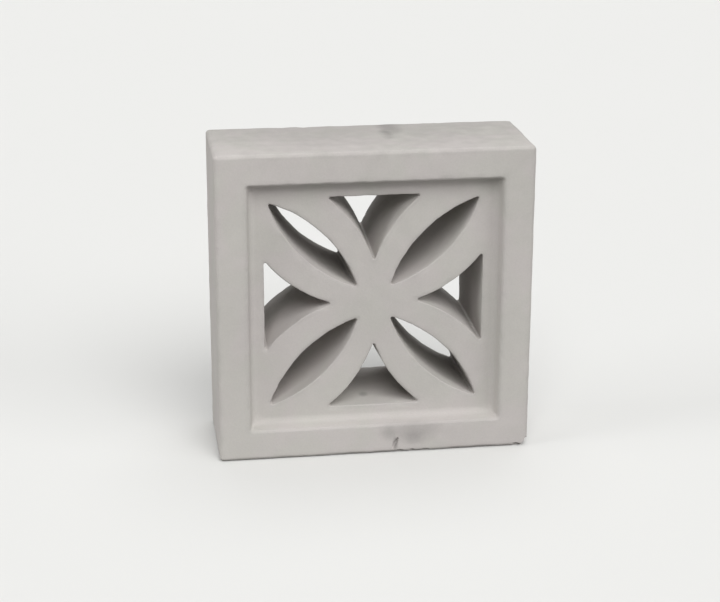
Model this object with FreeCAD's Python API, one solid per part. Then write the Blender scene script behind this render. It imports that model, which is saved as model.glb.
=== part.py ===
import FreeCAD, Part

import math
import os

# Decorative screen block: a square block cast in cement, with a recessed front and an open flower
# tracery. It stands on its lower edge as it does in a wall: +Z is up, +X runs along the wall, and the
# front looks towards -Y. The origin is the middle of the underside. Lengths are in millimetres.

# Block
FACE_SIZE = 190.0        # width and height of the square face
BLOCK_DEPTH = 68.0       # thickness of the wall that the block builds
ARRIS_RADIUS = 2.5       # rounding of the front edges and of the four edges that run back from them
BACK_ARRIS = 1.0         # rounding of the edges round the back face

# Recess in the front face
BORDER_WIDTH = 19.0      # flat border between the outer edge and the recess
RECESS_DEPTH = 9.0       # from the border down to the tracery
RECESS_DRAFT = 12.0      # slope of the recess walls, in degrees
RECESS_FOOT = 4.5        # hollow rounding along the foot of the recess walls
RECESS_CORNER = 1.5      # rounding of the corners between the recess walls
RECESS_RIM = 2.0         # rounding of the edge between border and recess

# Tracery: four leaf openings on the diagonals and four flared openings between them
FRAME_MARGIN = 10.2      # from the recess edge to the straight side of a flared opening
LEAF_INNER_TIP = 10.0    # point where the arcs of a leaf cross near the middle, from each centre line
LEAF_TIP_INSET = 2.6     # point where they cross again, inside the line of the straight sides
LEAF_RADIUS = 83.0       # arcs of a leaf
FLARE_TIP = 25.2         # point where the curved sides of a flared opening cross, from the centre
FLARE_RADIUS = 82.0      # curved sides of a flared opening
BAND_FOOT = 34.8         # foot of a tracery band along the frame, from leaf tip to flared corner
OPENING_DRAFT = 2.2      # slope of the opening walls, which close in towards the back, in degrees
TIP_RADIUS = 0.8         # rounding of the points of the openings
RIM_EASE = 0.8           # broken edge round each opening, front and back

# Length by which a core runs past the face that it opens
CORE_OVERLAP = 5.0

HALF_FACE = FACE_SIZE / 2
RECESS_HALF = HALF_FACE - BORDER_WIDTH
STRAIGHT_SIDE = RECESS_HALF - FRAME_MARGIN
LEAF_OUTER_TIP = STRAIGHT_SIDE - LEAF_TIP_INSET
FLARE_HALF_WIDTH = LEAF_OUTER_TIP - BAND_FOOT
TRACERY_DEPTH = BLOCK_DEPTH - RECESS_DEPTH
SAME = 1e-4              # lengths closer than this count as equal


def slope(degrees):
    """Sideways run of a drafted wall for each millimetre of depth."""
    return math.tan(math.radians(degrees))


def face_point(x, z, depth):
    """A point measured from the middle of the front face: across, up, and in behind the face."""
    return FreeCAD.Vector(x, depth, z)


def leaf_outline(draft, ease, depth):
    """Leaf on the upper right diagonal: two equal arcs whose crossings are rounded.

    The draft moves its walls outwards. The ease offsets the whole outline where an edge is broken.
    """
    middle = (LEAF_INNER_TIP + LEAF_OUTER_TIP) / 2
    half_chord = (LEAF_OUTER_TIP - LEAF_INNER_TIP) / math.sqrt(2)
    centre_distance = math.sqrt(LEAF_RADIUS**2 - half_chord**2)
    tip_swing = LEAF_RADIUS + draft - TIP_RADIUS
    tip_centre = math.sqrt(tip_swing**2 - centre_distance**2)
    radius = LEAF_RADIUS + draft + ease
    meet_along = radius * tip_centre / tip_swing
    meet_across = radius * centre_distance / tip_swing - centre_distance
    belly = radius - centre_distance
    tip = tip_centre + TIP_RADIUS + ease

    def leaf_point(along, across):
        x = middle + (along - across) / math.sqrt(2)
        z = middle + (along + across) / math.sqrt(2)
        return face_point(x, z, depth)

    arcs = []
    for side in (1, -1):
        start = leaf_point(-side * meet_along, side * meet_across)
        end = leaf_point(side * meet_along, side * meet_across)
        opposite = leaf_point(side * meet_along, -side * meet_across)
        arcs.append(Part.Arc(start, leaf_point(0, side * belly), end))
        arcs.append(Part.Arc(end, leaf_point(side * tip, 0), opposite))
    return Part.Wire([arc.toShape() for arc in arcs])


def flare_outline(draft, ease, depth):
    """Flared opening above the middle: two arcs that rise from a point to a straight upper side.

    Its three corners are rounded. Draft and ease act as on a leaf.
    """
    rise = STRAIGHT_SIDE - FLARE_TIP
    chord = math.hypot(FLARE_HALF_WIDTH, rise)
    centre_distance = math.sqrt(FLARE_RADIUS**2 - chord**2 / 4)
    centre_x = FLARE_HALF_WIDTH / 2 + centre_distance * rise / chord
    centre_z = (FLARE_TIP + STRAIGHT_SIDE) / 2 - centre_distance * FLARE_HALF_WIDTH / chord
    swing = FLARE_RADIUS - draft + TIP_RADIUS
    radius = FLARE_RADIUS - draft - ease
    rounding = TIP_RADIUS + ease
    corner_z = STRAIGHT_SIDE + draft - TIP_RADIUS
    tip_angle = math.acos(centre_x / swing)
    top_angle = math.asin((corner_z - centre_z) / swing)
    belly_angle = (tip_angle + top_angle) / 2
    corner_angle = (math.pi / 2 - top_angle) / 2
    corner_x = centre_x - swing * math.cos(top_angle)
    tip_z = centre_z + swing * math.sin(tip_angle)

    def on_side(side, angle):
        x = centre_x - radius * math.cos(angle)
        return face_point(side * x, centre_z + radius * math.sin(angle), depth)

    def on_corner(side, angle):
        x = corner_x + rounding * math.cos(angle)
        return face_point(side * x, corner_z + rounding * math.sin(angle), depth)

    right_foot, left_foot = (on_side(side, tip_angle) for side in (1, -1))
    right_top, left_top = (on_side(side, top_angle) for side in (1, -1))
    right_end, left_end = (on_corner(side, math.pi / 2) for side in (1, -1))
    edges = [
        Part.Arc(left_foot, face_point(0, tip_z - rounding, depth), right_foot),
        Part.Arc(right_foot, on_side(1, belly_angle), right_top),
        Part.Arc(right_top, on_corner(1, corner_angle), right_end),
        Part.LineSegment(right_end, left_end),
        Part.Arc(left_end, on_corner(-1, corner_angle), left_top),
        Part.Arc(left_top, on_side(-1, belly_angle), left_foot),
    ]
    return Part.Wire([edge.toShape() for edge in edges])


def opening_core(outline):
    """Core that leaves one opening: drafted walls between two broken edges, and a run past each face."""
    run = slope(OPENING_DRAFT)
    back = -run * TRACERY_DEPTH
    sections = [
        outline(0, RIM_EASE, RECESS_DEPTH - CORE_OVERLAP),
        outline(0, RIM_EASE, RECESS_DEPTH),
        outline(-run * RIM_EASE, 0, RECESS_DEPTH + RIM_EASE),
        outline(back + run * RIM_EASE, 0, BLOCK_DEPTH - RIM_EASE),
        outline(back, RIM_EASE, BLOCK_DEPTH),
        outline(back, RIM_EASE, BLOCK_DEPTH + CORE_OVERLAP),
    ]
    return Part.makeLoft(sections, True, True)


def half_span(edge):
    """How far an edge reaches from the centre lines of the face."""
    box = edge.BoundBox
    return max(-box.XMin, box.XMax, -box.ZMin, box.ZMax)


def edges_in_face(body, depth, reach):
    """Edges that lie in the plane at this depth and stay within reach of the centre lines."""
    in_plane = [edge for edge in body.Edges
                if abs(edge.BoundBox.YMin - depth) < SAME and abs(edge.BoundBox.YMax - depth) < SAME]
    return [edge for edge in in_plane if half_span(edge) < reach + SAME]


def edges_running_back(body, depth):
    """Edges that start in the plane at this depth and run back from it."""
    starting = [edge for edge in body.Edges if abs(edge.BoundBox.YMin - depth) < SAME]
    return [edge for edge in starting if edge.BoundBox.YLength > SAME]


def recess_core():
    """Core that leaves the recess: its walls close in to a rounded foot, and meet in rounded corners."""
    run = slope(RECESS_DRAFT)
    mouth = RECESS_HALF + run * CORE_OVERLAP
    floor = RECESS_HALF - run * RECESS_DEPTH
    low_corner = (-mouth, -CORE_OVERLAP, -mouth)
    high_corner = (mouth, RECESS_DEPTH, mouth)
    core = Part.makeWedge(*low_corner, -floor, -floor, *high_corner, floor, floor)
    core = core.makeFillet(RECESS_FOOT, edges_in_face(core, RECESS_DEPTH, floor))
    return core.makeFillet(RECESS_CORNER, edges_running_back(core, -CORE_OVERLAP))


def outer_block():
    """Plain block with its outer edges rounded."""
    block = Part.makeBox(FACE_SIZE, BLOCK_DEPTH, FACE_SIZE, face_point(-HALF_FACE, -HALF_FACE, 0))
    block = block.makeFillet(ARRIS_RADIUS, edges_running_back(block, 0))
    block = block.makeFillet(ARRIS_RADIUS, edges_in_face(block, 0, HALF_FACE))
    return block.makeFillet(BACK_ARRIS, edges_in_face(block, BLOCK_DEPTH, HALF_FACE))


def sink_recess(block):
    """Recess in the front, with a rounded mouth."""
    block = block.cut(recess_core())
    return block.makeFillet(RECESS_RIM, edges_in_face(block, 0, RECESS_HALF))


def pierce_tracery(block):
    """Leaf and flared openings at each quarter turn."""
    for outline in (leaf_outline, flare_outline):
        core = opening_core(outline)
        for quarter in range(4):
            turned = core.copy()
            turned.rotate(face_point(0, 0, 0), face_point(0, 0, 1), 90 * quarter)
            block = block.cut(turned)
    return block


def screen_block():
    """The whole block, moved from the middle of its face to stand on its underside."""
    block = pierce_tracery(sink_recess(outer_block()))
    block.translate(FreeCAD.Vector(0, -BLOCK_DEPTH / 2, HALF_FACE))
    return block


os.makedirs("parts", exist_ok=True)
block = screen_block()
block.exportStep("parts/screen_block.step")
print("valid:", block.isValid(), "solids:", len(block.Solids), "faces:", len(block.Faces))
print("volume:", round(block.Volume / 1e6, 4), "litres")
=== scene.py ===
# %% [markdown]
# A decorative screen block, cast in cement. It is one solid piece: a square block with a sunk front and
# a flower of eight openings, four leaves on the diagonals and four flares between them. This lesson
# builds one eighth of it as a mesh, makes a cement finish, lets Geometry Nodes turn the eighth into the
# whole block and wear it, and then adds a floor, some light and a camera.

# %% Load the construction
import math

import bpy
import numpy as np
from mathutils import Matrix, Vector
from mathutils.kdtree import KDTree


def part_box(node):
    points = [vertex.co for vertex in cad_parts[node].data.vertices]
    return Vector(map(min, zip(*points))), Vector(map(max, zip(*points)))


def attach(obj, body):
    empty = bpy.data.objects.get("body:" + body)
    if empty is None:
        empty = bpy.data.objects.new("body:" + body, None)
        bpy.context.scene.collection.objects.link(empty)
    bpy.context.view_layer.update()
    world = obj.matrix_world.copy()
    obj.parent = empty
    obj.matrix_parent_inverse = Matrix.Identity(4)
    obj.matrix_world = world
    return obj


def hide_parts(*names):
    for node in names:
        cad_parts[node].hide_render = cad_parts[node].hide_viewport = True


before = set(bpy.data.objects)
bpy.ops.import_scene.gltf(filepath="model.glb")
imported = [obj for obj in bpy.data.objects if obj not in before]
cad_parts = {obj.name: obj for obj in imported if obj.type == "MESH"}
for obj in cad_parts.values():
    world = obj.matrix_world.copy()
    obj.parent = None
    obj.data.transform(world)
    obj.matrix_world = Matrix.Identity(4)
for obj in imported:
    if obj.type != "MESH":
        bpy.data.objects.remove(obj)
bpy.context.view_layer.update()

low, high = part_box("screen_block")
MM = 0.001               # a millimetre in metres
HALF_FACE = (high.x - low.x) / 2 / MM
BLOCK_DEPTH = (high.y - low.y) / MM
print("block:", round(2 * HALF_FACE, 1), "mm square,", round(BLOCK_DEPTH, 1), "mm deep")

# %% [markdown]
# The outer size comes from the loaded construction. The sizes of the sunk front and of the openings are
# the mould maker's own, and they are named here in millimetres. Everything below is worked out from
# them, measured from the middle of the front face: x across, z up, and depth in behind the face.

# %% Sizes of the recess and of the openings
ARRIS_RADIUS = 2.5       # front edges, and the edges that run back from the corners
BACK_ARRIS = 1.0         # edges round the back
BORDER_WIDTH = 19.0      # flat border round the recess
RECESS_DEPTH = 9.0       # from the border down to the tracery
RECESS_DRAFT = math.radians(12.0)
RECESS_FOOT = 4.5        # hollow rounding at the foot of the recess walls
RECESS_CORNER = 1.5      # rounding between two recess walls
RECESS_RIM = 2.0         # rounding between border and recess
FRAME_MARGIN = 10.2      # from the recess edge to the straight side of a flare
LEAF_INNER_TIP = 10.0    # where the arcs of a leaf cross near the middle, from each centre line
LEAF_TIP_INSET = 2.6     # where they cross again, inside the line of the straight sides
LEAF_RADIUS = 83.0
FLARE_TIP = 25.2         # where the curved sides of a flare cross, from the centre
FLARE_RADIUS = 82.0
BAND_FOOT = 34.8         # from the tip of a leaf to the corner of a flare, along the frame
OPENING_DRAFT = math.radians(2.2)
TIP_RADIUS = 0.8         # rounding of the points of the openings
RIM_RADIUS = 0.9         # rounding of the edges of the openings, in front and at the back

RECESS_HALF = HALF_FACE - BORDER_WIDTH
STRAIGHT_SIDE = RECESS_HALF - FRAME_MARGIN
LEAF_OUTER_TIP = STRAIGHT_SIDE - LEAF_TIP_INSET
FLARE_HALF_WIDTH = LEAF_OUTER_TIP - BAND_FOOT
print("recess:", round(2 * RECESS_HALF, 1), "mm; flares:", round(2 * FLARE_HALF_WIDTH, 1), "mm wide")

# %% [markdown]
# The flower repeats every eighth of a turn, once mirrored, so one eighth is enough to draw: from the
# upright centre line, where half a flare lies, to the diagonal, where half a leaf lies. A solid drawn
# with booleans would leave long thin faces that no wear can bend, so the eighth is laid out as grids of
# quads whose lines follow the edges. Two helpers draw the lines of those grids: one samples an arc, and
# the other joins runs of points.

# %% Helpers for runs of points
def arc(centre, radius, start, end, steps):
    """Points along an arc, from one angle to another."""
    angles = np.linspace(start, end, steps + 1)
    return np.column_stack((centre[0] + radius * np.cos(angles), centre[1] + radius * np.sin(angles)))


def chain(*runs):
    """Several runs of points in one, without the points that they share."""
    return np.vstack([runs[0]] + [run[1:] for run in runs[1:]])


print("quarter of a circle in three steps:", arc((0, 0), 1, 0, math.pi / 2, 3).round(2).tolist())

# %% [markdown]
# A leaf lies between two equal arcs that cross at its tips, where the mould is rounded a little. Its outline
# is sampled with the same number of steps at every depth, so that the rows of a grid match. The draft closes
# an opening towards the back, and the ease opens it where its edge is rounded.

# %% Outline of a leaf
TIP_STEPS = 3
SIDE_STEPS = 36


def leaf_edges(draft, ease):
    """Half the outline of the leaf on the diagonal: its inner tip, its side and its outer tip."""
    middle = (LEAF_INNER_TIP + LEAF_OUTER_TIP) / 2
    half_chord = (LEAF_OUTER_TIP - LEAF_INNER_TIP) / math.sqrt(2)
    centre_distance = math.sqrt(LEAF_RADIUS**2 - half_chord**2)
    swing = LEAF_RADIUS + draft - TIP_RADIUS
    tip_centre = math.sqrt(swing**2 - centre_distance**2)
    lean = math.asin(tip_centre / swing)
    upright = math.pi / 2
    runs = (
        arc((-tip_centre, 0), TIP_RADIUS + ease, math.pi, upright + lean, TIP_STEPS),
        arc((0, -centre_distance), LEAF_RADIUS + draft + ease, upright + lean, upright - lean, SIDE_STEPS),
        arc((tip_centre, 0), TIP_RADIUS + ease, upright - lean, 0, TIP_STEPS),
    )
    eighth_turn = np.array(((1, 1), (-1, 1))) / math.sqrt(2)
    return [middle + run @ eighth_turn for run in runs]


print("leaf outline:", [len(run) for run in leaf_edges(0, 0)], "points")

# %% [markdown]
# A flare has two curved sides that rise from a point to a straight top. A side takes as many steps as that
# of a leaf, because the band of tracery between the two will be a grid.

# %% Outline of a flare
TOP_STEPS = 10


def flare_edges(draft, ease):
    """Half the outline of the upper flare: its tip, its side to the middle of the corner, and its top."""
    rise = STRAIGHT_SIDE - FLARE_TIP
    chord = math.hypot(FLARE_HALF_WIDTH, rise)
    centre_distance = math.sqrt(FLARE_RADIUS**2 - chord**2 / 4)
    centre_x = FLARE_HALF_WIDTH / 2 + centre_distance * rise / chord
    centre_z = (FLARE_TIP + STRAIGHT_SIDE) / 2 - centre_distance * FLARE_HALF_WIDTH / chord
    swing = FLARE_RADIUS - draft + TIP_RADIUS
    rounding = TIP_RADIUS + ease
    corner_z = STRAIGHT_SIDE + draft - TIP_RADIUS
    tip_angle = math.acos(centre_x / swing)
    top_angle = math.asin((corner_z - centre_z) / swing)
    tip = (0, centre_z + swing * math.sin(tip_angle))
    corner = (centre_x - swing * math.cos(top_angle), corner_z)
    corner_middle = (math.pi / 2 - top_angle) / 2
    tip_run = arc(tip, rounding, -math.pi / 2, -tip_angle, TIP_STEPS)
    side = chain(
        arc((centre_x, centre_z), FLARE_RADIUS - draft - ease, math.pi - tip_angle, math.pi - top_angle,
            SIDE_STEPS - TIP_STEPS),
        arc(corner, rounding, -top_angle, corner_middle, TIP_STEPS),
    )
    top_x = np.linspace(corner[0], 0, TOP_STEPS + 1)
    top = chain(
        arc(corner, rounding, corner_middle, math.pi / 2, TIP_STEPS),
        np.column_stack((top_x, np.full(TOP_STEPS + 1, corner_z + rounding))),
    )
    return [tip_run, side, top]


print("flare outline:", [len(run) for run in flare_edges(0, 0)], "points")

# %% [markdown]
# The tracery between the openings is a band that grows out of the middle of the block. Its lines run along
# it, closer together beside the openings, where the edges will be worn, than in the middle.

# %% The tracery, front and back
# Shares of the way across a band, from the leaf to the flare
ACROSS = np.array([0, .03, .07, .13, .21, .32, .44, .56, .68, .79, .87, .93, .97, 1])
HUB_STEPS = 7


def at_depth(points, depth):
    """Points of the face pattern, set in at a depth."""
    return np.stack((points[..., 0], np.full(points.shape[:-1], depth), points[..., 1]), -1)


def tracery(draft, ease, depth):
    """At one depth: the hub, row by row from the middle, the band, and the edge of the frame."""
    leaf_inner, leaf_side, leaf_outer = leaf_edges(draft, ease)
    flare_tip, flare_side, flare_top = flare_edges(draft, ease)
    band = leaf_side[:, None] + ACROSS[None, :, None] * (flare_side - leaf_side)[:, None]
    hub_edge = chain(leaf_inner, band[0], flare_tip[::-1])
    hub = np.linspace(0, 1, HUB_STEPS + 1)[:, None, None] * hub_edge
    frame_edge = chain(leaf_outer[::-1], band[-1], flare_top)
    return [at_depth(points, depth) for points in (hub, band, frame_edge)]


print("tracery:", [points.shape[:2] for points in tracery(0, 0, RECESS_DEPTH)])

# %% [markdown]
# Round the tracery runs one long strip: over the recess floor, up the sloping recess wall, across the
# border, round the front edge, back along the outside, round the back edge and in over the back face.
# Its profile is a list of half widths and depths, with arcs where an edge is rounded.

# %% Profile of the strip round the outside
FLOOR_STEPS, WALL_STEPS, BORDER_STEPS = 6, 3, 9
OUTSIDE_STEPS, BACK_STEPS, ROUND_STEPS = 34, 14, 6


def recess_half(depth):
    """Half width of the sloping recess at a depth."""
    return RECESS_HALF - math.tan(RECESS_DRAFT) * depth


def outside_profile():
    """Half width and depth of each row, from the foot of the recess wall to the edge of the back."""
    lean_x, lean_y = math.cos(RECESS_DRAFT), math.sin(RECESS_DRAFT)
    foot_depth = RECESS_DEPTH - RECESS_FOOT * (1 - lean_y)
    foot = (recess_half(foot_depth) - RECESS_FOOT * lean_x, RECESS_DEPTH - RECESS_FOOT)
    rim_depth = RECESS_RIM * (1 - lean_y)
    rim = (recess_half(rim_depth) + RECESS_RIM * lean_x, RECESS_RIM)
    front = (HALF_FACE - ARRIS_RADIUS, ARRIS_RADIUS)
    back = (HALF_FACE - BACK_ARRIS, BLOCK_DEPTH - BACK_ARRIS)
    quarter = math.pi / 2
    wall_ends = [(recess_half(depth), depth) for depth in (foot_depth, rim_depth)]
    wall = np.linspace(*wall_ends, WALL_STEPS + 1)
    border = np.linspace((rim[0], 0), (front[0], 0), BORDER_STEPS + 1)
    outside = np.linspace((HALF_FACE, front[1]), (HALF_FACE, back[1]), OUTSIDE_STEPS + 1)
    return chain(
        arc(foot, RECESS_FOOT, quarter, RECESS_DRAFT, ROUND_STEPS),
        wall,
        arc(rim, RECESS_RIM, math.pi + RECESS_DRAFT, 3 * quarter, ROUND_STEPS),
        border,
        arc(front, ARRIS_RADIUS, -quarter, 0, ROUND_STEPS),
        outside,
        arc(back, BACK_ARRIS, 0, quarter, ROUND_STEPS),
    )


print("strip:", len(outside_profile()), "profile rows")

# %% [markdown]
# Each row of the strip is a square of its half width with the corner rounded, and only the part from the
# diagonal to the centre line is drawn. Its points are spread as they are on the edge of the frame inside,
# so that the lines of the strip run out from there without crowding.

# %% Rows of the strip
LEAST_CORNER = 0.3       # least rounding of a row's corner


def corner_radius(half, depth):
    """Rounding of the square's corner: that of the recess inside the border, that of the block outside."""
    if half < RECESS_HALF + RECESS_RIM:
        return RECESS_CORNER + abs(half - recess_half(depth))
    return max(LEAST_CORNER, ARRIS_RADIUS + half - HALF_FACE)


def square_row(half, depth, spread):
    """One row of the strip, from the diagonal round the corner to the centre line."""
    radius = corner_radius(half, depth)
    corner = arc((half - radius, half - radius), radius, math.pi / 4, math.pi / 2, TIP_STEPS)
    straight = (half - radius) * spread[TIP_STEPS:] / spread[TIP_STEPS]
    return at_depth(chain(corner, np.column_stack((straight, np.full(len(straight), half)))), depth)


def strip_grid(front_edge, back_edge):
    """The whole strip, row by row, between the frame's edges in front and at the back."""
    rows = [square_row(half, depth, front_edge[:, 0]) for half, depth in outside_profile()]
    floor = np.linspace(front_edge, rows[0], FLOOR_STEPS + 1)[:-1]
    back = np.linspace(rows[-1], back_edge, BACK_STEPS + 1)[1:]
    return np.concatenate((floor, rows, back))


print("corner of the outermost rows:", round(corner_radius(HALF_FACE, BLOCK_DEPTH / 2), 1), "mm")

# %% [markdown]
# The walls of the openings are lofts: the same outline again and again, a little narrower with each step
# back, and opened out at both ends where the edge is rounded. With them the eighth is complete, and all
# its grids go into one mesh. Where two grids meet they share the same points, so that the doubles can be
# merged once the whole block stands.

# %% The opening walls, and the eighth as grids
THROUGH_STEPS = 30


def through_profile():
    """Depth, draft and ease of each row of an opening wall, from the recess floor to the back."""
    turn = np.linspace(0, math.pi / 2, ROUND_STEPS + 1)
    front = np.column_stack((RECESS_DEPTH + RIM_RADIUS * (1 - np.cos(turn)), RIM_RADIUS * (1 - np.sin(turn))))
    back = np.column_stack((BLOCK_DEPTH - RIM_RADIUS * (1 - np.sin(turn)), RIM_RADIUS * (1 - np.cos(turn))))
    rows = chain(front, np.linspace(front[-1], back[0], THROUGH_STEPS + 1), back)
    return [(depth, math.tan(OPENING_DRAFT) * (RECESS_DEPTH - depth), ease) for depth, ease in rows]


profile = through_profile()
leaf_wall = np.array([at_depth(chain(*leaf_edges(draft, ease)), depth) for depth, draft, ease in profile])
flare_wall = np.array([at_depth(chain(*flare_edges(draft, ease)), depth) for depth, draft, ease in profile])
front_hub, front_band, front_edge = tracery(0, RIM_RADIUS, RECESS_DEPTH)
back_hub, back_band, back_edge = tracery(profile[-1][1], RIM_RADIUS, BLOCK_DEPTH)
strip = strip_grid(front_edge, back_edge)
grids = [front_hub, front_band, back_hub[:, ::-1], back_band[:, ::-1], strip, leaf_wall, flare_wall[:, ::-1]]
print("grids:", [grid.shape[:2] for grid in grids])

# %% [markdown]
# The mesh also carries an attribute named arris, which says how near a point is to an edge: one on the
# rounding of an outer edge, minus one in the foot of the recess, and nothing a few millimetres away. Both
# the wear and the finish will read it. The middle row of each rounding is the edge, and a KD tree finds
# the nearest of its points.

# %% How near a point is to an edge
EDGE_REACH = 1.6         # distance from an edge over which its nearness falls away
FOOT_REACH = 3.0         # the same for the foot of the recess, which is a wider rounding


def nearness(points, edge_points, reach):
    """One at the edge points, falling to nothing over about twice the reach."""
    tree = KDTree(len(edge_points))
    for number, point in enumerate(edge_points):
        tree.insert(point, number)
    tree.balance()
    distance = np.array([tree.find(point)[2] for point in points])
    return np.exp(-(distance / reach) ** 2)


def edge_relief(points):
    """The arris attribute at some points: nearness to the outer edges, less that to the recess foot."""
    middle = ROUND_STEPS // 2
    foot = FLOOR_STEPS + middle
    rim = FLOOR_STEPS + ROUND_STEPS + WALL_STEPS + middle
    front_arris = rim + ROUND_STEPS + BORDER_STEPS
    back_arris = front_arris + ROUND_STEPS + OUTSIDE_STEPS
    edge_rows = [strip[row] for row in (rim, front_arris, back_arris)]
    edge_rows += [wall[row] for wall in (leaf_wall, flare_wall) for row in (middle, -1 - middle)]
    corner_run = strip[front_arris:back_arris + 1, 0]
    outer_edges = nearness(points, np.concatenate(edge_rows + [corner_run]), EDGE_REACH)
    return outer_edges - nearness(points, strip[foot], FOOT_REACH)


eighth_points = np.concatenate([grid.reshape(-1, 3) for grid in grids])
relief = edge_relief(eighth_points)
print("arris: from", round(relief.min(), 2), "in the recess foot to", round(relief.max(), 2), "on the edges")

# %% [markdown]
# Now the grids go into one mesh. Each of them gives rows of quads, with their corners listed so that they
# face outwards. The points move to the middle of the block, and from millimetres to metres.

# %% The eighth as one mesh
def eighth_mesh():
    """One eighth of the block, as grids of quads that all face outwards."""
    quads, start = [], 0
    for grid in grids:
        rows, columns = grid.shape[:2]
        number = start + np.arange(rows * columns).reshape(rows, columns)
        around = (number[:-1, :-1], number[1:, :-1], number[1:, 1:], number[:-1, 1:])
        quads.append(np.stack(around, -1).reshape(-1, 4))
        start += rows * columns
    mesh = bpy.data.meshes.new("block_eighth")
    place = (eighth_points - (0, BLOCK_DEPTH / 2, 0)) * MM
    mesh.from_pydata(place.tolist(), [], np.concatenate(quads).tolist())
    mesh.attributes.new("arris", "FLOAT", "POINT").data.foreach_set("value", relief.astype(np.float32))
    return mesh


eighth = eighth_mesh()
print("eighth:", len(eighth.vertices), "points,", len(eighth.polygons), "quads")

# %% [markdown]
# Cast cement takes every detail of its mould, but it is soft for a day, and its edges lose some grains
# when it is lifted out. The finish is made first, so that the node trees can hand it to the mesh. One
# small function adds a node with its settings and links, and another turns the hex colours that
# designers use into the linear ones that Blender works in.

# %% Helpers for nodes and colours
def add_node(tree, kind, inputs=None, output=0, **settings):
    """Adds a node with its settings, fills or links its inputs, and gives back one of its outputs.

    An input that takes several links is given a list. A node without outputs is given back itself.
    """
    made = tree.nodes.new(kind)
    for name, value in settings.items():
        setattr(made, name, value)
    for socket, value in (inputs or {}).items():
        for source in value if isinstance(value, list) else [value]:
            if isinstance(source, bpy.types.NodeSocket):
                tree.links.new(source, made.inputs[socket])
            else:
                made.inputs[socket].default_value = source
    return made.outputs[output] if made.outputs else made


def colour(code):
    """A hex colour such as #B7B4AF as linear red, green, blue and alpha, by the sRGB standard's curve."""
    parts = [int(code[place:place + 2], 16) / 255 for place in (1, 3, 5)]
    linear = [part / 12.92 if part <= 0.04045 else ((part + 0.055) / 1.055) ** 2.4 for part in parts]
    return (*linear, 1.0)


CEMENT_GREY = "#B7B4AF"
print("cement grey in linear light:", [round(part, 3) for part in colour(CEMENT_GREY)])

# %% [markdown]
# The finish is fair-faced cement: grey cement and fine pale sand, cast in a smooth mould. The eye gets a
# dull, even, slightly warm grey, clouded where the water dried at different speeds, with a grain of sand
# close up. Painted shade makes it darker along the outer edges, where it dims their highlight, and a little
# in the foot of the recess. Each pattern's scale is one over its real size in metres. The sand is finer
# than a pixel of the picture, so it is drawn as coarse as it needs to show.

# %% Cement: clouds, warm patches and sand
CLOUD_SIZE, PATCH_SIZE, BLOTCH_SIZE, SAND_SIZE = 55 * MM, 32 * MM, 9 * MM, 0.9 * MM
CLOUD_SHADE, BLOTCH_SHADE, SAND_SHADE = 0.17, 0.09, 0.12     # share of the brightness that each moves
NOISE_MIDDLE = 0.5       # the level that a noise swings about
PATCH_START, PATCH_FULL = 0.4, 0.6                           # noise between which a patch turns warm
PATCH_WARM = "#B9B4B1"
CEMENT_ROUGHNESS = 0.92  # dry, with a dull skin
CEMENT_IOR = 1.5         # about that of sand

cement = bpy.data.materials.new("cast cement")
cement.use_nodes = True
nodes = cement.node_tree
shader = nodes.nodes["Principled BSDF"]
shader.inputs["Roughness"].default_value = CEMENT_ROUGHNESS
shader.inputs["IOR"].default_value = CEMENT_IOR
place = add_node(nodes, "ShaderNodeTexCoord", output="Object")

clouds = add_node(nodes, "ShaderNodeTexNoise", {"Vector": place, "Scale": 1 / CLOUD_SIZE, "Detail": 3.0})
patches = add_node(nodes, "ShaderNodeTexNoise", {"Vector": place, "Scale": 1 / PATCH_SIZE, "Detail": 2.0,
                                                 "Distortion": 0.6})
blotches = add_node(nodes, "ShaderNodeTexNoise", {"Vector": place, "Scale": 1 / BLOTCH_SIZE, "Detail": 4.0})
sand = add_node(nodes, "ShaderNodeTexNoise", {"Vector": place, "Scale": 1 / SAND_SIZE, "Detail": 2.0})

warmth = add_node(nodes, "ShaderNodeMapRange",
                  {"Value": patches, "From Min": PATCH_START, "From Max": PATCH_FULL})
grey = add_node(nodes, "ShaderNodeMix", {0: warmth, 6: colour(CEMENT_GREY), 7: colour(PATCH_WARM)}, 2,
                data_type="RGBA")
level = 1.0
for pattern, strength in ((clouds, CLOUD_SHADE), (blotches, BLOTCH_SHADE), (sand, SAND_SHADE)):
    swing = add_node(nodes, "ShaderNodeMath", {0: pattern, 1: NOISE_MIDDLE}, operation="SUBTRACT")
    level = add_node(nodes, "ShaderNodeMath", {0: swing, 1: strength, 2: level}, operation="MULTIPLY_ADD")
print("cement shader:", len(nodes.nodes), "nodes")

# %% [markdown]
# Stains and painted light come next. The cement reads the mesh's arris attribute: painted shade makes it
# darker on the outer edges, where it dims their highlight, and a little in the foot of the recess. The few
# spots on this block are soft patches at their own places: each one is a distance from its middle, in units
# of its own half widths, which some noise makes ragged. A spot with a negative strength is paler. Most spots
# are real stains, but the one on the broken corner is painted shade, the paler lower border and the paler
# walls of the lower openings are painted light, and one spot makes the top darker towards its back.

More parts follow.
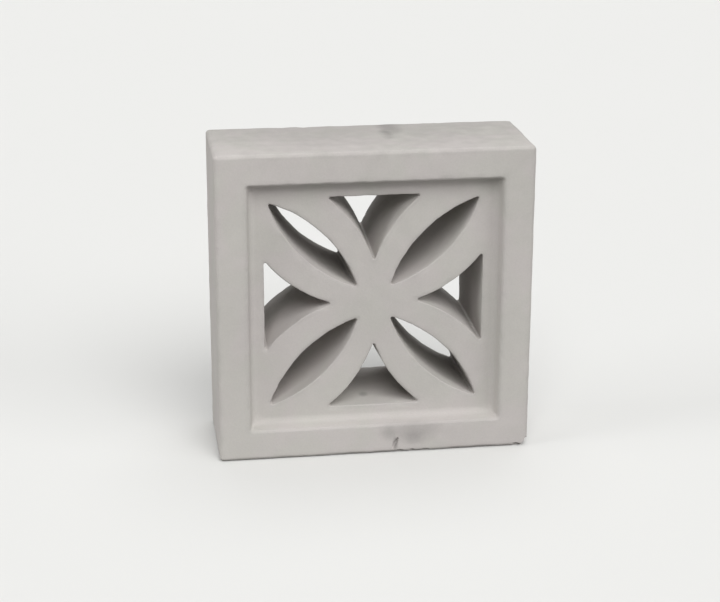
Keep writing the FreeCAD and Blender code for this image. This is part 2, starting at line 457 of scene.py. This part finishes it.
# %% Cement: painted shade on the edges, and stains
# Each spot, real stain and painted light or shade alike: its middle and its half widths in millimetres, and
# the brightness that it takes
STAINS_AND_SHADING = {
    "smudge on the lower border": ((22, -34, 13.5), (24, 8, 9), 0.20),
    "dark end of that smudge": ((7.5, -34, 12.5), (7, 8, 7), 0.13),
    "spot below it": ((23.5, -34, 9), (9, 8, 6.5), 0.13),
    "dirt in the scratch": ((12.3, -34, 6.3), (2.4, 3, 5.5), 0.50),
    # Painted shade: the cut face of the broken corner is darkened as if it lay in shadow
    "painted shade on the broken corner": ((95, -33, 0), (4.5, 7, 4.5), 0.45),
    # The top is made darker towards its back
    "top darker towards the back": ((0, 42, 190), (190, 95, 8), 0.23),
    "smear over the top": ((16, 26, 190), (9, 26, 8), 0.18),
    "tip of that smear": ((12, 7, 190), (5, 17, 8), 0.16),
    "mark on a sill": ((-4, -9, 29.8), (4, 5, 3), 0.34),
    "faint smudge on the upper border": ((46, -34, 173), (12, 6, 5), 0.06),
    # Painted light: the lower left of the front is made paler, as if more light fell there
    "painted light on the lower border": ((-60, -34, 0), (110, 40, 60), -0.09),
    # Painted light: the walls inside the lower openings are made paler, as if more light reached in
    "painted light on the lower opening walls": ((-25, 2, 55), (85, 36, 55), -0.20),
}
SPOT_RAGGED = 0.5       # how far the noise draws in a spot's edge at most, in half widths
SPOT_START, SPOT_FULL = 1.3, 0.4                           # distances between which a spot grows
EDGE_DARK, FOOT_DARK = 0.07, 0.03                            # painted shade on the outer edges and in the recess foot; arris is negative in the foot

arris = add_node(nodes, "ShaderNodeAttribute", output="Fac", attribute_name="arris")
# Painted shade: darker on the outer edges, dimming their highlight, and a little in the foot of the recess
painted_edge_shade = add_node(nodes, "ShaderNodeMath", {0: arris, 1: 0.0}, operation="MAXIMUM")
painted_foot_shade = add_node(nodes, "ShaderNodeMath", {0: arris, 1: 0.0}, operation="MINIMUM")
level = add_node(nodes, "ShaderNodeMath", {0: painted_edge_shade, 1: -EDGE_DARK, 2: level}, operation="MULTIPLY_ADD")
level = add_node(nodes, "ShaderNodeMath", {0: painted_foot_shade, 1: FOOT_DARK, 2: level}, operation="MULTIPLY_ADD")
for middle, half_widths, strength in STAINS_AND_SHADING.values():
    scale = tuple(1 / (half * MM) for half in half_widths)
    shift = tuple(-along / half for along, half in zip(middle, half_widths))
    spot = add_node(nodes, "ShaderNodeMapping", {"Vector": place, "Scale": scale, "Location": shift})
    reach = add_node(nodes, "ShaderNodeVectorMath", {0: spot}, "Value", operation="LENGTH")
    ragged = add_node(nodes, "ShaderNodeMath", {0: blotches, 1: SPOT_RAGGED, 2: reach},
                      operation="MULTIPLY_ADD")
    stain_and_shading = add_node(nodes, "ShaderNodeMapRange",
                     {"Value": ragged, "From Min": SPOT_START, "From Max": SPOT_FULL, "To Max": strength},
                     interpolation_type="SMOOTHSTEP")
    level = add_node(nodes, "ShaderNodeMath", {0: level, 1: stain_and_shading}, operation="SUBTRACT")
tinted = add_node(nodes, "ShaderNodeVectorMath", {0: grey, "Scale": level}, operation="SCALE")
nodes.links.new(tinted, shader.inputs["Base Color"])
print("stains:", ", ".join(STAINS_AND_SHADING))

# %% [markdown]
# The cast skin isn't quite smooth. The sand also raises it by up to a tenth of a millimetre, and the
# blotches by up to half of one. That is too little for the mesh, so two bumps in the shader do it, and the
# first passes its tilted surface on to the second.

# %% Cement: sand and blotches as relief
GRAIN_HEIGHT, GRAIN_STRENGTH = 0.12 * MM, 0.25
SKIN_HEIGHT, SKIN_STRENGTH = 0.5 * MM, 0.5

grain = add_node(nodes, "ShaderNodeBump",
                 {"Height": sand, "Strength": GRAIN_STRENGTH, "Distance": GRAIN_HEIGHT})
skin = add_node(nodes, "ShaderNodeBump",
                {"Height": blotches, "Strength": SKIN_STRENGTH, "Distance": SKIN_HEIGHT, "Normal": grain})
nodes.links.new(skin, shader.inputs["Normal"])
print("cement shader:", len(nodes.nodes), "nodes with stains and relief")

# %% [markdown]
# Geometry Nodes will shape the block and wear it. Two helpers serve both trees: one starts a tree with a
# named input for each of its sizes, and the other puts a tree on an object. A modifier keeps its inputs
# under the identifiers of their sockets, so the second helper looks those up.

# %% Helpers for node trees
def geometry_tree(name, sizes):
    """A Geometry Nodes tree with a mesh in and out and one named input for each size."""
    tree = bpy.data.node_groups.new(name, "GeometryNodeTree")
    tree.interface.new_socket("Geometry", in_out="INPUT", socket_type="NodeSocketGeometry")
    tree.interface.new_socket("Geometry", in_out="OUTPUT", socket_type="NodeSocketGeometry")
    for label, value in sizes.items():
        kind = "NodeSocketInt" if isinstance(value, int) else "NodeSocketFloat"
        tree.interface.new_socket(label, in_out="INPUT", socket_type=kind)
    return tree, tree.nodes.new("NodeGroupInput").outputs


def use_tree(thing, tree, sizes):
    """Puts the tree on an object as a modifier and sets its sizes by their identifiers."""
    modifier = thing.modifiers.new(tree.name, "NODES")
    modifier.node_group = tree
    for item in tree.interface.items_tree:
        if item.in_out == "INPUT" and item.name in sizes:
            modifier[item.identifier] = sizes[item.name]


print("Geometry Nodes of Blender", bpy.app.version_string)

# %% [markdown]
# Now the eighth becomes the whole flower. A tree mirrors it across the centre line, which turns its faces
# inside out, so they are flipped back. It then sets the quarter that this makes at each turn about the
# middle, and welds the seams. An array modifier could do it too, but the tree keeps the count of turns and
# the welding distance as plain named inputs.

# %% The flower tree
FLOWER_SIZES = {"Turns": 4, "Weld distance": 0.004 * MM}
flower, given = geometry_tree("flower turns", FLOWER_SIZES)
mirrored = add_node(flower, "GeometryNodeTransform", {"Geometry": given["Geometry"], "Scale": (-1, 1, 1)})
righted = add_node(flower, "GeometryNodeFlipFaces", {"Mesh": mirrored})
quarter = add_node(flower, "GeometryNodeJoinGeometry", {"Geometry": [given["Geometry"], righted]})
points = add_node(flower, "GeometryNodePoints", {"Count": given["Turns"]})
step = add_node(flower, "ShaderNodeMath", {0: 2 * math.pi, 1: given["Turns"]}, operation="DIVIDE")
number = add_node(flower, "GeometryNodeInputIndex")
angle = add_node(flower, "ShaderNodeMath", {0: number, 1: step}, operation="MULTIPLY")
turn = add_node(flower, "ShaderNodeCombineXYZ", {"Y": angle})
turned = add_node(flower, "GeometryNodeInstanceOnPoints",
                  {"Points": points, "Instance": quarter, "Rotation": turn})
whole = add_node(flower, "GeometryNodeRealizeInstances", {"Geometry": turned})
welded = add_node(flower, "GeometryNodeMergeByDistance",
                  {"Geometry": whole, "Distance": given["Weld distance"]})
finished = add_node(flower, "GeometryNodeSetMaterial", {"Geometry": welded, "Material": cement})
add_node(flower, "NodeGroupOutput", {"Geometry": finished})
print("flower tree:", len(flower.nodes), "nodes")

# %% [markdown]
# A second tree wears the casting. Points near an outer edge are drawn in by a noisy amount, so the edges
# waver, and all the flats get a faint wave. Everything moves inwards, so the block keeps its size. The block
# is then lifted from its middle to stand on the floor.

# %% The wear tree: wavering edges and flats
WEAR_SIZES = {
    "Edge wear": 0.6 * MM,
    "Edge wave length": 11 * MM,
    "Flat wave": 0.2 * MM,
    "Flat wave length": 45 * MM,
}
EDGE_WHOLE, EDGE_WORN = 0.42, 0.75                           # noise where wear starts, and where it is full

wear, given = geometry_tree("casting wear", WEAR_SIZES)
here = add_node(wear, "GeometryNodeInputPosition")
facing = add_node(wear, "GeometryNodeInputNormal")
edge = add_node(wear, "GeometryNodeInputNamedAttribute", {"Name": "arris"})
edge_scale = add_node(wear, "ShaderNodeMath", {0: 1.0, 1: given["Edge wave length"]}, operation="DIVIDE")
edge_noise = add_node(wear, "ShaderNodeTexNoise",
                      {"Vector": here, "Scale": edge_scale, "Detail": 4.0, "Roughness": 0.6})
edge_loss = add_node(wear, "ShaderNodeMapRange", {"Value": edge_noise, "From Min": EDGE_WHOLE,
                                                  "From Max": EDGE_WORN, "To Max": given["Edge wear"]})
outer_edge = add_node(wear, "ShaderNodeMath", {0: edge, 1: 0.0}, operation="MAXIMUM")
edge_depth = add_node(wear, "ShaderNodeMath", {0: outer_edge, 1: edge_loss}, operation="MULTIPLY")
wave_scale = add_node(wear, "ShaderNodeMath", {0: 1.0, 1: given["Flat wave length"]}, operation="DIVIDE")
wave_noise = add_node(wear, "ShaderNodeTexNoise", {"Vector": here, "Scale": wave_scale, "Detail": 1.0})
depth = add_node(wear, "ShaderNodeMath", {0: wave_noise, 1: given["Flat wave"], 2: edge_depth},
                 operation="MULTIPLY_ADD")
inward = add_node(wear, "ShaderNodeMath", {0: depth, 1: -1.0}, operation="MULTIPLY")
offset = add_node(wear, "ShaderNodeVectorMath", {0: facing, "Scale": inward}, operation="SCALE")
eroded = add_node(wear, "GeometryNodeSetPosition", {"Geometry": given["Geometry"], "Offset": offset})
standing = add_node(wear, "GeometryNodeTransform",
                    {"Geometry": eroded, "Translation": (0, 0, HALF_FACE * MM)})
for label, size in WEAR_SIZES.items():
    print(label + ":", round(size / MM, 1), "mm")

# %% [markdown]
# A few real chips are bitten out with rough pebbles: the lower corner that is broken off, a worn corner at
# the back, the nibbles along the lower edge and a short scratch. A pebble is a ball whose points are moved by
# noise, and each bite is that pebble at its own place, size and tilt. The manifold solver cuts them all in
# one go and leaves the block closed. Sharp folds stay sharp, and all else is shaded smooth.

# %% The wear tree: chips
# Each chip: its middle and its half widths in millimetres, and its tilt in degrees
CHIPS = {
    "broken lower corner": ((96.6, -44.0, -1.6), (8.0, 20.0, 8.0), (0, 35, 0)),
    "worn back corner": ((99.0, 38.0, 194.0), (10.0, 10.0, 10.0), (40, 0, 25)),
    "scratch on the lower border": ((12.3, -34.0, 6.3), (1.3, 1.6, 4.2), (0, 24, 0)),
    "first nibble": ((15.0, -34.0, 0.0), (3.4, 2.5, 2.3), (0, 0, 15)),
    "second nibble": ((23.0, -34.0, 0.0), (2.6, 2.3, 2.1), (0, 30, 0)),
    "third nibble": ((31.0, -34.0, 0.0), (3.8, 2.4, 2.2), (30, 0, 0)),
    "fourth nibble": ((88.5, -34.0, 0.0), (3.6, 2.5, 2.3), (10, 20, 0)),
}
PEBBLE_ROUGHNESS = 0.35  # how far the noise moves a pebble's points at most, in half widths
PEBBLE_LUMPS = 1.6       # lumps of the noise to one half width
SHARP_FOLD = math.radians(35)

ball = add_node(wear, "GeometryNodeMeshIcoSphere", {"Radius": 1.0, "Subdivisions": 4})
lumps = add_node(wear, "ShaderNodeTexNoise", {"Vector": here, "Scale": PEBBLE_LUMPS, "Detail": 3.0}, "Color")
lump = add_node(wear, "ShaderNodeVectorMath", {0: lumps, 1: (NOISE_MIDDLE,) * 3}, operation="SUBTRACT")
rough = add_node(wear, "ShaderNodeVectorMath", {0: lump, "Scale": 2 * PEBBLE_ROUGHNESS}, operation="SCALE")
pebble = add_node(wear, "GeometryNodeSetPosition", {"Geometry": ball, "Offset": rough})
bites = []
for middle, half_widths, tilt in CHIPS.values():
    bites.append(add_node(wear, "GeometryNodeTransform", {
        "Geometry": pebble,
        "Translation": tuple(length * MM for length in middle),
        "Rotation": tuple(math.radians(degrees) for degrees in tilt),
        "Scale": tuple(length * MM for length in half_widths),
    }))
chipped = add_node(wear, "GeometryNodeMeshBoolean", {"Mesh 1": standing, "Mesh 2": bites},
                   operation="DIFFERENCE", solver="MANIFOLD")

crease = add_node(wear, "GeometryNodeInputMeshEdgeAngle")
gentle = add_node(wear, "FunctionNodeCompare", {0: crease, 1: SHARP_FOLD}, operation="LESS_THAN")
smooth = add_node(wear, "GeometryNodeSetShadeSmooth", {"Geometry": chipped, "Shade Smooth": gentle},
                  domain="EDGE")
real = add_node(wear, "GeometryNodeRealizeInstances", {"Geometry": smooth})
finished = add_node(wear, "GeometryNodeSetMaterial", {"Geometry": real, "Material": cement})
add_node(wear, "NodeGroupOutput", {"Geometry": finished})
print("wear tree:", len(wear.nodes), "nodes,", len(CHIPS), "chips")

# %% [markdown]
# Both trees now run on the eighth, one after the other. What they give is copied into a plain mesh,
# because the modifiers and their instances would not survive an export. The new object stands for the
# construction's block: it rides on the same body and hides the plain solid.

# %% The block as one plain mesh
worker = bpy.data.objects.new("eighth", eighth)
bpy.context.scene.collection.objects.link(worker)
use_tree(worker, flower, FLOWER_SIZES)
use_tree(worker, wear, WEAR_SIZES)
graph = bpy.context.evaluated_depsgraph_get()
block_mesh = bpy.data.meshes.new_from_object(
    worker.evaluated_get(graph), preserve_all_data_layers=True, depsgraph=graph)
block_mesh.name = "cast_block"
bpy.data.objects.remove(worker)

block = bpy.data.objects.new("cast_block", block_mesh)
bpy.context.scene.collection.objects.link(block)
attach(block, "root")
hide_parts("screen_block")
triangles = sum(len(face.vertices) - 2 for face in block_mesh.polygons)
print("block:", len(block_mesh.polygons), "faces,", triangles, "triangles")

# %% [markdown]
# The block stands on a plain pale floor. Two things are wanted of that floor: the camera should see it
# nearly white, and little light should bounce from it into the openings, which are dark in a real room.
# Light Path tells the two apart. Rays that show the floor, straight or in a gloss, find a pale colour
# that still takes the block's shadow, and all others find a dark one.

# %% Floor
FLOOR_SIZE = 12.0        # metres, so that its edges lie outside the picture
DIM_FLOOR, SHOWN_FLOOR = "#8C8C8A", "#DFDFDD"


def seen_factor(tree):
    """One for rays that show a surface: straight from the camera, in a gloss or through glass."""
    path = add_node(tree, "ShaderNodeLightPath").node.outputs
    shown = add_node(tree, "ShaderNodeMath", {0: path["Is Camera Ray"], 1: path["Is Glossy Ray"]},
                     operation="MAXIMUM")
    return add_node(tree, "ShaderNodeMath", {0: shown, 1: path["Is Transmission Ray"]}, operation="MAXIMUM")


pale = bpy.data.materials.new("pale studio floor")
pale.use_nodes = True
pale.node_tree.nodes.clear()
seen = seen_factor(pale.node_tree)
dim_floor = add_node(pale.node_tree, "ShaderNodeBsdfDiffuse", {"Color": colour(DIM_FLOOR)})
shown_floor = add_node(pale.node_tree, "ShaderNodeBsdfDiffuse", {"Color": colour(SHOWN_FLOOR)})
either = add_node(pale.node_tree, "ShaderNodeMixShader", {0: seen, 1: dim_floor, 2: shown_floor})
add_node(pale.node_tree, "ShaderNodeOutputMaterial", {"Surface": either})

half_floor = FLOOR_SIZE / 2
floor_mesh = bpy.data.meshes.new("studio_floor")
floor_corners = [(-half_floor, -half_floor, 0), (half_floor, -half_floor, 0), (half_floor, half_floor, 0),
                 (-half_floor, half_floor, 0)]
floor_mesh.from_pydata(floor_corners, [], [(0, 1, 2, 3)])
floor_mesh.materials.append(pale)
floor = bpy.data.objects.new("studio_floor", floor_mesh)
bpy.context.scene.collection.objects.link(floor)
print("floor:", FLOOR_SIZE, "m square")

# %% [markdown]
# The world does the same. Rays from the camera find a pale backdrop, and the block gets a weaker white
# light from all round, which keeps the deepest shadows from going black.

# %% World
AROUND_LIGHT, AROUND_STRENGTH = "#FFFFFF", 0.25
BACKDROP = "#EFEFED"

world = bpy.data.worlds.new("soft studio")
world.use_nodes = True
world.node_tree.nodes.clear()
seen = seen_factor(world.node_tree)
around = add_node(world.node_tree, "ShaderNodeBackground",
                  {"Color": colour(AROUND_LIGHT), "Strength": AROUND_STRENGTH})
backdrop = add_node(world.node_tree, "ShaderNodeBackground", {"Color": colour(BACKDROP), "Strength": 1.0})
either = add_node(world.node_tree, "ShaderNodeMixShader", {0: seen, 1: around, 2: backdrop})
add_node(world.node_tree, "ShaderNodeOutputWorld", {"Surface": either})
bpy.context.scene.world = world
print("world: light", AROUND_STRENGTH, "from all round, backdrop", BACKDROP)

# %% [markdown]
# The light is that of a studio with large soft lamps. The key lamp is high in front, a second one skims
# along the front from the left, a weaker one fills in from the front right, and the weakest lights the top
# from above. Sun lamps with a wide angle stand for them, because their light doesn't fall off across the
# floor. A strength of pi on a surface that faces the lamp shows its colour just as it is written.

# %% Lamps
# Each lamp: the direction towards it, its share of that strength, and its angle in degrees
LAMPS = {
    "key": ((0.04, -0.67, 0.74), 0.70, 45),
    "side": ((-0.97, -0.13, 0.20), 0.42, 30),
    "front": ((0.76, -0.58, 0.29), 0.30, 40),
    "top": ((0.10, 0.30, 0.95), 0.24, 40),
}
for name, (towards, share, spread) in LAMPS.items():
    lamp = bpy.data.lights.new(name, "SUN")
    lamp.energy = math.pi * share
    lamp.angle = math.radians(spread)
    lamp_object = bpy.data.objects.new(name, lamp)
    lamp_object.rotation_euler = Vector(towards).to_track_quat("Z", "Y").to_euler()
    bpy.context.scene.collection.objects.link(lamp_object)
print("lamps:", ", ".join(LAMPS))

# %% [markdown]
# The camera looks from a little to the left of the block and from above, through a longish lens. Its
# place and angles were worked out from the photograph, by setting the block's corners, edges and
# opening tips against those that it shows.

# %% Camera
CAMERA_PLACE = (-156.9, -1034.9, 439.5)      # millimetres from the middle of the underside
CAMERA_AZIMUTH, CAMERA_DIP, CAMERA_ROLL = (math.radians(degrees) for degrees in (8.36, 18.60, 0.15))
camera = bpy.data.cameras.new("camera")
camera.sensor_fit = "HORIZONTAL"
camera.sensor_width = 36.0
camera.lens = 90.0
camera.clip_end = 100.0
camera_object = bpy.data.objects.new("camera", camera)
bpy.context.scene.collection.objects.link(camera_object)
camera_object.matrix_world = (
    Matrix.Translation(Vector(CAMERA_PLACE) * MM)
    @ Matrix.Rotation(-CAMERA_AZIMUTH, 4, "Z")
    @ Matrix.Rotation(math.pi / 2 - CAMERA_DIP, 4, "X")
    @ Matrix.Rotation(CAMERA_ROLL, 4, "Z")
)
bpy.context.scene.camera = camera_object
bpy.context.scene.view_settings.view_transform = "Standard"
print("camera:", [round(length, 3) for length in camera_object.location], "m")
